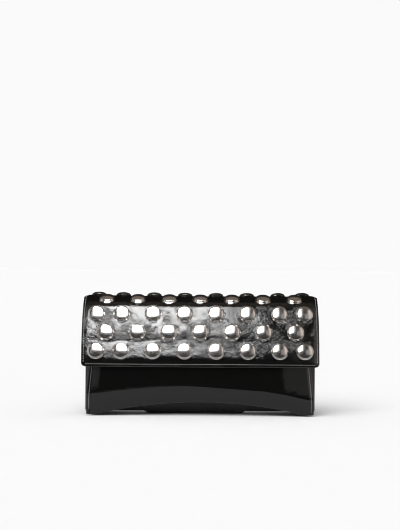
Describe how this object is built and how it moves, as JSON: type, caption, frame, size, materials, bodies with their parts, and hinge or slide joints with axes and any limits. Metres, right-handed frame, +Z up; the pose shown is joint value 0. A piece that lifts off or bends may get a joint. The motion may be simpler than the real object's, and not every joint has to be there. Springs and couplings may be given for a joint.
{
  "type": "flap wallet",
  "caption": "Long black glazed-leather wallet on a rounded base: studded fold-over flap, folded gussets, card slots, zip coin pocket and side rings for a chain.",
  "frame": {"origin": "middle of the wallet's footprint, on the surface it stands on", "axes": "+X to the wearer's right seen from the front, along the width; -Y out of the studded front; +Z up"},
  "size_m": [0.2, 0.0441, 0.1035],
  "materials": {
    "glazed_leather": "glazed, finely creased",
    "gusset_leather": "satin",
    "pocket_leather": "satin",
    "lining": "twill",
    "pocket_cloth": "twill",
    "stiffening_board": "matt",
    "magnet": "plated",
    "polished_nickel": "polished",
    "washer_steel": "stamped",
    "zip_tape": "woven"
  },
  "bodies": {
    "body": {"back_leather": "glazed_leather", "back_board": "stiffening_board", "back_lining": "lining", "base_leather": "glazed_leather", "base_board": "stiffening_board", "gusset_left": "gusset_leather", "gusset_right": "gusset_leather", "card_slot_left_1": "pocket_leather", "card_slot_left_2": "pocket_leather", "card_slot_left_3": "pocket_leather", "card_slot_left_4": "pocket_leather", "card_slot_right_1": "pocket_leather", "card_slot_right_2": "pocket_leather", "card_slot_right_3": "pocket_leather", "card_slot_right_4": "pocket_leather", "zip_pocket_front": "pocket_cloth", "zip_pocket_back": "pocket_cloth", "zip_tape_front": "zip_tape", "zip_tape_back": "zip_tape", "zip_teeth_front": "polished_nickel", "zip_teeth_back": "polished_nickel", "zip_stops": "polished_nickel", "ring_tab_left": "glazed_leather", "ring_tab_right": "glazed_leather", "tab_rivets_left": "polished_nickel", "tab_rivets_right": "polished_nickel"},
    "flap": {"flap_leather": "glazed_leather", "flap_board": "stiffening_board", "flap_lining": "lining", "flap_magnets": "magnet", "stud_row_1": "polished_nickel", "stud_row_2": "polished_nickel", "stud_row_3": "polished_nickel", "stud_row_4": "polished_nickel", "stud_row_5": "polished_nickel", "washer_row_1": "washer_steel", "washer_row_2": "washer_steel", "washer_row_3": "washer_steel", "washer_row_4": "washer_steel", "washer_row_5": "washer_steel"},
    "front": {"front_leather": "glazed_leather", "front_board": "stiffening_board", "front_lining": "lining", "front_magnets": "magnet", "slip_pocket": "pocket_leather"},
    "slider": {"zip_slider": "polished_nickel"},
    "puller": {"zip_puller": "polished_nickel"},
    "ring_left": {"ring_left": "polished_nickel"},
    "ring_right": {"ring_right": "polished_nickel"}
  },
  "joints": [
    {"name": "flap_hinge", "type": "hinge", "parent": "body", "child": "flap", "pos_m": [0, 0.02199, 0.09063], "axis": [-1, 0, 0], "range_deg": [0, 150]},
    {"name": "front_fold", "type": "hinge", "parent": "body", "child": "front", "pos_m": [0, -0.019, 0.001], "axis": [1, 0, 0], "range_deg": [0, 10], "deforming": ["gusset_left", "gusset_right"]},
    {"name": "zip_travel", "type": "slide", "parent": "body", "child": "slider", "axis": [-1, 0, 0], "range_m": [0, 0.116]},
    {"name": "puller_hinge", "type": "hinge", "parent": "slider", "child": "puller", "pos_m": [0.058, 0.0027, 0.0817], "axis": [0, 1, 0], "range_deg": [0, 180]},
    {"name": "ring_right_hinge", "type": "hinge", "parent": "body", "child": "ring_right", "pos_m": [0.084, 0.00385, 0.08], "axis": [0, 1, 0], "range_deg": [0, 240]},
    {"name": "ring_left_hinge", "type": "hinge", "parent": "body", "child": "ring_left", "pos_m": [-0.084, 0.00385, 0.08], "axis": [0, -1, 0], "range_deg": [0, 240]}
  ],
  "couplings": [
    {"joint": "front_fold", "follows": "flap_hinge", "ratio": 0.066667}
  ]
}
